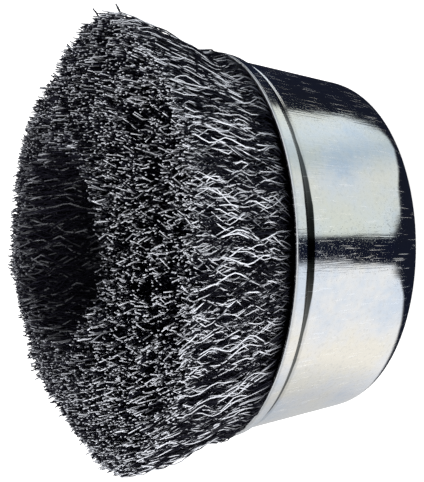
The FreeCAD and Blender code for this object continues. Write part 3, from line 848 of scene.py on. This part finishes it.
zincPlate = {                # noises are scale and detail; patterns on the wall have cells a radian and a metre
    "blueTint": (0.70, 0.77, 0.86, 1),
    "clearTint": (0.85, 0.86, 0.865, 1),
    "yellowTint": (0.89, 0.865, 0.78, 1),
    "tintLevels": (0.38, 0.5, 0.62),
    "tintNoise": (60.0, 5.0),
    "mottleNoise": (700.0, 3.0),
    "mottleShare": 0.2,
    "stain": (0.42, 0.45, 0.50, 1),
    "stainNoise": (1400.0, 3.0),
    "stainLevels": (0.50, 0.72),
    "stainShare": 0.20,
    "polish": (0.06, 0.16),              # roughness
    "smearNoise": (150.0, 5.0),
    "smearLevels": (0.3, 0.7),
    # Painted shade and dark reflection in the groove under the collar, wider at the front
    "paintedShade": (0.012, 0.014, 0.013, 1),
    "thinPaintedShade": (0.12, 0.125, 0.12, 1),
    "shadeHeight": 33.05,                # mm, where the painted shade lies in the groove
    "shadeWidth": (8.0, 34.0, 1.25, 0.55),   # degrees from the front, then mm each way there and elsewhere
    "shadeThins": (6.0, 26.0),           # degrees
    "shadeSmear": (0.5, 0.25),           # mm, how unevenly its edge runs
    "shadeBlur": 0.12,                   # mm each way
    "inside": (0.010, 0.010, 0.011, 1),  # painted shade on every side that does not face out from the axis, as inside the mouth where the wires come out
    "mouthShadeFacing": (0.30, 0.60, 1.0, 0.0),
    "worn": (0.74, 0.75, 0.76, 1),
    "wornFrom": (36.35, 36.65),          # mm, the lip's worn edge
    "wornRoughness": 0.22,
    "scratchPattern": (95.0, 150.0),
    "scratchNoise": (1.0, 2.0),
    "scratch": (0.61, 0.69),             # noise levels
    "scratchTint": (0.36, 0.38, 0.41, 1),
    "scratchShare": 0.22,
    "markPattern": (30.0, 40.0),
    "markNoise": (3.2, 6.0),
    "markHeight": 0.00005,               # m
    "bundlePattern": (3.0, 30.0),
    "bundleNoise": (2.0, 2.0),
    "bundleLevels": (0.40, 0.62),
    "pitNoise": (2900.0, 1.0),
    "pitLevels": (0.62, 0.74),
    "pitShare": (8.0, 30.0, 0.5, 0.35),  # degrees from the front
    "pitRoughness": 0.2,
    "pitHeight": 0.00002,                # m
}


def wallNoise(tree, pattern, scale, detail):
    # Noise on a flat pattern wrapped round the axis: x runs round the wall, y up it
    parts = separate(tree, objectSpots(tree))
    turn = calc(tree, "ARCTAN2", parts["Y"], parts["X"])
    spots = combine(tree, product(tree, turn, pattern[0]), product(tree, parts["Z"], pattern[1]), 0.0)
    return noiseOn(tree, spots, scale, detail)


def bumped(tree, height, distance, before=None):
    bump = addNode(tree, "ShaderNodeBump")
    bump.inputs["Strength"].default_value = 1.0
    bump.inputs["Distance"].default_value = distance
    plug(tree, height, bump.inputs["Height"])
    if before is not None:
        plug(tree, before, bump.inputs["Normal"])
    return bump.outputs[0]


def zincMaterial(name, values):
    material, tree, shader = newMaterial(name)
    spots = objectSpots(tree)
    level = product(tree, separate(tree, spots)["Z"], 1000.0)        # mm
    turned = calc(tree, "ABSOLUTE", aroundAxis(tree, spots))
    # Passivate tints drift over the plate, and fine stains break them up
    cloud = total(tree, product(tree, noiseOn(tree, spots, *values["tintNoise"]), 1 - values["mottleShare"]),
                  product(tree, noiseOn(tree, spots, *values["mottleNoise"]), values["mottleShare"]))
    tints = (values["blueTint"], values["clearTint"], values["yellowTint"])
    plate = colourRamp(tree, cloud, tuple(zip(values["tintLevels"], tints)))
    stains = ranged(tree, noiseOn(tree, spots, *values["stainNoise"]), *values["stainLevels"],
                    0.0, values["stainShare"])
    plate = mixedColour(tree, plate, values["stain"], stains)
    # Painted shade and dark reflection in the groove under the collar, wider at the front
    smear = noiseOn(tree, spots, *values["smearNoise"])
    uneven, inset = values["shadeSmear"]
    off = calc(tree, "ABSOLUTE", less(tree, level, values["shadeHeight"]))
    off = less(tree, total(tree, off, product(tree, smear, uneven)),
               total(tree, ranged(tree, turned, *values["shadeWidth"]), inset))
    grooveShade = ranged(tree, off, -values["shadeBlur"], values["shadeBlur"], 1.0, 0.0)
    # The groove's painted shade, darkest at the front and thinner elsewhere
    dirt = mixedColour(tree, values["paintedShade"], values["thinPaintedShade"], ranged(tree, turned, *values["shadeThins"]))
    plate = mixedColour(tree, plate, dirt, grooveShade)
    # Painted shade on the sides that do not face out from the axis
    plate = mixedColour(tree, plate, values["inside"], ranged(tree, facingOut(tree), *values["mouthShadeFacing"]))
    scuffed = ranged(tree, level, *values["wornFrom"])
    plate = mixedColour(tree, plate, values["worn"], scuffed)
    # Thin scratches along the drawing direction
    scratches = ranged(tree, wallNoise(tree, values["scratchPattern"], *values["scratchNoise"]), *values["scratch"])
    scratches = product(tree, scratches, values["scratchShare"])
    plug(tree, mixedColour(tree, plate, values["scratchTint"], scratches), shader["Base Color"])
    plug(tree, less(tree, 1.0, scratches), shader["Metallic"])
    # Drawing marks run up the wall in loose bundles, with pits between them
    marks = wallNoise(tree, values["markPattern"], *values["markNoise"])
    bundles = ranged(tree, wallNoise(tree, values["bundlePattern"], *values["bundleNoise"]), *values["bundleLevels"])
    pits = product(tree, ranged(tree, noiseOn(tree, spots, *values["pitNoise"]), *values["pitLevels"]),
                   ranged(tree, turned, *values["pitShare"]))
    rough = total(tree, ranged(tree, smear, *values["smearLevels"], *values["polish"]),
                  product(tree, pits, values["pitRoughness"]), product(tree, scuffed, values["wornRoughness"]))
    plug(tree, rough, shader["Roughness"])
    drawn = bumped(tree, product(tree, marks, bundles), values["markHeight"])
    plug(tree, bumped(tree, pits, values["pitHeight"], drawn), shader["Normal"])
    return material


cup = newObject("drawn_cup", latheMesh("drawn_cup", cupOutline(cupForm), cupForm["turns"]))
cup.data.materials.append(zincMaterial("brightZincPlate", zincPlate))
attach(cup, "root")
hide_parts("cup")
print("cup made")


# The hidden pieces: satin inner cup, turned nut with its thread, dull keeper ring

turnedLook = {               # what the three finishes share
    "lineCells": 3500.0,             # a metre
    "lineDetail": 3.0,
    "lineShare": 0.3,                # of the dirt
    "smearNoise": (120.0, 4.0),
    "smearLevels": (0.3, 0.7),
    "dirtLevels": (0.38, 0.62),
}

satinPlate = {
    "pale": (0.58, 0.60, 0.62, 1),
    "dull": (0.36, 0.37, 0.38, 1),
    "roughness": (0.26, 0.46),
    "lineHeight": 0.00003,           # m
}

turnedSteel = {
    "pale": (0.60, 0.60, 0.60, 1),
    "dull": (0.38, 0.38, 0.385, 1),
    "roughness": (0.20, 0.40),
    "lineHeight": 0.00005,
}

dullSteel = {
    "pale": (0.22, 0.22, 0.225, 1),
    "dull": (0.10, 0.10, 0.105, 1),
    "roughness": (0.38, 0.60),
    "lineHeight": 0.00002,
}


def turnedMaterial(name, values):
    # Fine lines run round the axis, as a press tool or a lathe leaves them
    material, tree, shader = newMaterial(name)
    look = {**turnedLook, **values}
    spots = objectSpots(tree)
    radius = vectors(tree, "LENGTH", vectors(tree, "MULTIPLY", spots, (1, 1, 0)))
    lineSpots = combine(tree, product(tree, radius, look["lineCells"]),
                        product(tree, separate(tree, spots)["Z"], look["lineCells"]), 0.0)
    lines = noiseOn(tree, lineSpots, 1.0, look["lineDetail"])
    smear = noiseOn(tree, spots, *look["smearNoise"])
    dirt = total(tree, product(tree, smear, 1 - look["lineShare"]), product(tree, lines, look["lineShare"]))
    plug(tree, mixedColour(tree, look["dull"], look["pale"], ranged(tree, dirt, *look["dirtLevels"])),
         shader["Base Color"])
    shader["Metallic"].default_value = 1.0
    plug(tree, ranged(tree, smear, *look["smearLevels"], *look["roughness"]), shader["Roughness"])
    plug(tree, bumped(tree, lines, look["lineHeight"]), shader["Normal"])
    return material


nutMaterial = turnedMaterial("turnedSteel", turnedSteel)
hiddenMaterials = {
    "inner_cup": turnedMaterial("satinPlate", satinPlate),
    "spindle_nut": nutMaterial,
    "keeper_ring": turnedMaterial("dullSteel", dullSteel),
}
for nodeName, material in hiddenMaterials.items():
    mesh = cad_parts[nodeName].data
    for number in range(len(mesh.materials)):
        mesh.materials[number] = material

nutThread = {                # mm
    "majorRadius": 7.03,
    "minorRadius": 5.95,
    "pitch": 2.0,
    "baseHalf": 0.88,
    "crestHalf": 0.14,
    "start": 1.7,
    "turns": 5.8,
    "fade": 0.2,             # turns over which each end runs out
    "least": 0.05,           # share of the thread's depth at its very ends
    "steps": 40,             # a turn
}


def threadMesh(name, form):
    # A bar of four sides wound up the bore
    major, minor = form["majorRadius"], form["minorRadius"]
    verts, faces = [], []
    count = round(form["turns"] * form["steps"])
    for step in range(count + 1):
        turned = step / form["steps"]
        grown = min(1.0, turned / form["fade"], (form["turns"] - turned) / form["fade"])
        crest = major - (major - minor) * max(grown, form["least"])
        angle = 2 * math.pi * turned
        level = form["start"] + form["pitch"] * turned
        for radius, off in ((major, -form["baseHalf"]), (major, form["baseHalf"]),
                            (crest, form["crestHalf"]), (crest, -form["crestHalf"])):
            verts.append((radius * math.cos(angle) * mm, radius * math.sin(angle) * mm, (level + off) * mm))
    for step in range(count):
        first, after = 4 * step, 4 * step + 4
        for side in range(4):
            across = (side + 1) % 4
            faces.append((first + side, first + across, after + across, after + side))
    faces.append((3, 2, 1, 0))
    faces.append(tuple(4 * count + side for side in range(4)))
    mesh = bpy.data.meshes.new(name)
    mesh.from_pydata(verts, [], faces)
    solid = bmesh.new()
    solid.from_mesh(mesh)
    bmesh.ops.recalc_face_normals(solid, faces=solid.faces)
    solid.to_mesh(mesh)
    solid.free()
    return mesh


thread = newObject("nut_thread", threadMesh("nut_thread", nutThread))
thread.data.materials.append(nutMaterial)
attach(thread, "root")
print("hidden pieces dressed")
